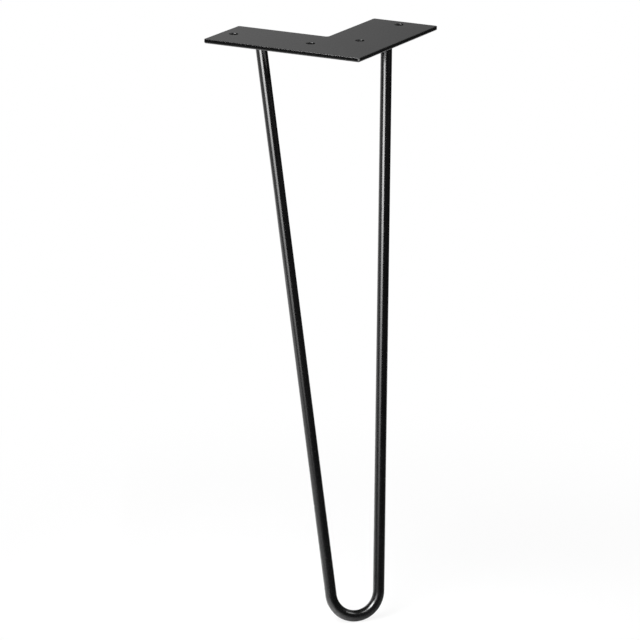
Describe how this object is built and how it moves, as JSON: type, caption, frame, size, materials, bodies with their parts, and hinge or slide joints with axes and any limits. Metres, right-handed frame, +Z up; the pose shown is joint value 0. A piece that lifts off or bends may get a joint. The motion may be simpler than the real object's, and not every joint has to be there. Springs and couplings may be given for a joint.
{
  "type": "hairpin table leg",
  "caption": "Black hairpin table leg: a round rod bent to a narrow U, splayed outward and welded under an L-shaped plate that screws to a tabletop.",
  "frame": {"origin": "on the plate's top face, which goes against the tabletop, where the centre lines of its two arms cross", "axes": "+Z up into the tabletop; one arm of the plate runs along -X and the other along +Y; the foot leans outward between +X and -Y"},
  "size_m": [0.1406, 0.1406, 0.4],
  "materials": {
    "black_coat": "satin"
  },
  "bodies": {
    "root": {"mounting_plate": "black_coat", "hairpin_rod": "black_coat", "weld_bead_x_arm": "black_coat", "weld_bead_y_arm": "black_coat"}
  },
  "joints": []
}
